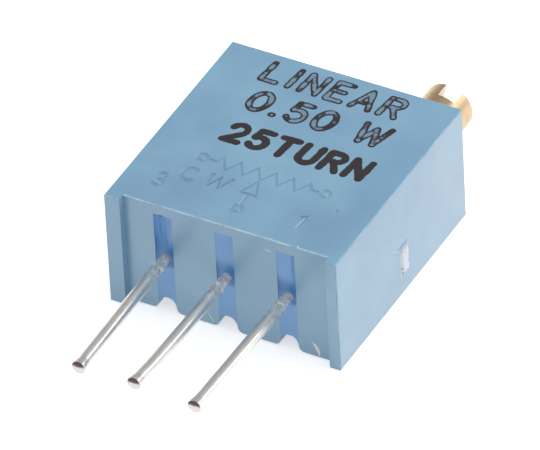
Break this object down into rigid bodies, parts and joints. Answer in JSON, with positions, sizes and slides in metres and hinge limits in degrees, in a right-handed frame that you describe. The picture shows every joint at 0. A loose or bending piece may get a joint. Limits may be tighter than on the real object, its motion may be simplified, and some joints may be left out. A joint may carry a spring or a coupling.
{
  "type": "trimmer potentiometer",
  "caption": "Square blue multi-turn trimmer potentiometer with in-line wire pins on one edge and a slotted brass adjusting screw that drives its wiper through a worm.",
  "frame": {"origin": "on the middle pin's axis, in the board plane that the standoff strips sit on", "axes": "+X along the pin row towards pin 1, +Y from the board towards the adjusting screw, +Z out of the printed face"},
  "size_m": [0.0096, 0.0181, 0.005],
  "materials": {
    "blue_thermoset": "satin moulded surface with crisp edges",
    "blue_epoxy": "poured and cured, slightly glossy, drawn in round the pins",
    "turned_brass": "turned and slotted, bright",
    "black_rubber": "moulded",
    "spring_steel": "stamped",
    "rotor_nylon": "moulded",
    "wiper_alloy": "stamped spring alloy",
    "alumina": "fired, matt",
    "cermet_film": "printed and fired film",
    "conductor_film": "printed and fired silver alloy film",
    "tinned_wire": "bright hot-dipped tin with a lumpy coat near the root",
    "solder": "reflowed"
  },
  "bodies": {
    "case": {"case": "blue_thermoset", "epoxy_seal": "blue_epoxy", "retaining_clip": "spring_steel", "substrate": "alumina", "resistive_track": "cermet_film", "collector": "conductor_film", "end_electrode_1": "conductor_film", "end_electrode_3": "conductor_film", "pin_1": "tinned_wire", "pin_2": "tinned_wire", "pin_3": "tinned_wire", "solder_joint_1": "solder", "solder_joint_2": "solder", "solder_joint_3": "solder"},
    "screw": {"adjustment_screw": "turned_brass", "o_ring": "black_rubber"},
    "rotor": {"rotor": "rotor_nylon", "wiper": "wiper_alloy"}
  },
  "joints": [
    {"name": "screw_turn", "type": "hinge", "parent": "case", "child": "screw", "pos_m": [0.00343, 0.01, 0.0011], "axis": [0, 1, 0], "range_deg": [-4500, 4500]},
    {"name": "rotor_turn", "type": "hinge", "parent": "case", "child": "rotor", "pos_m": [0, 0.0055, 0.0011], "axis": [0, 0, 1], "range_deg": [-141, 141]}
  ],
  "couplings": [
    {"joint": "rotor_turn", "follows": "screw_turn", "ratio": -0.03125}
  ]
}
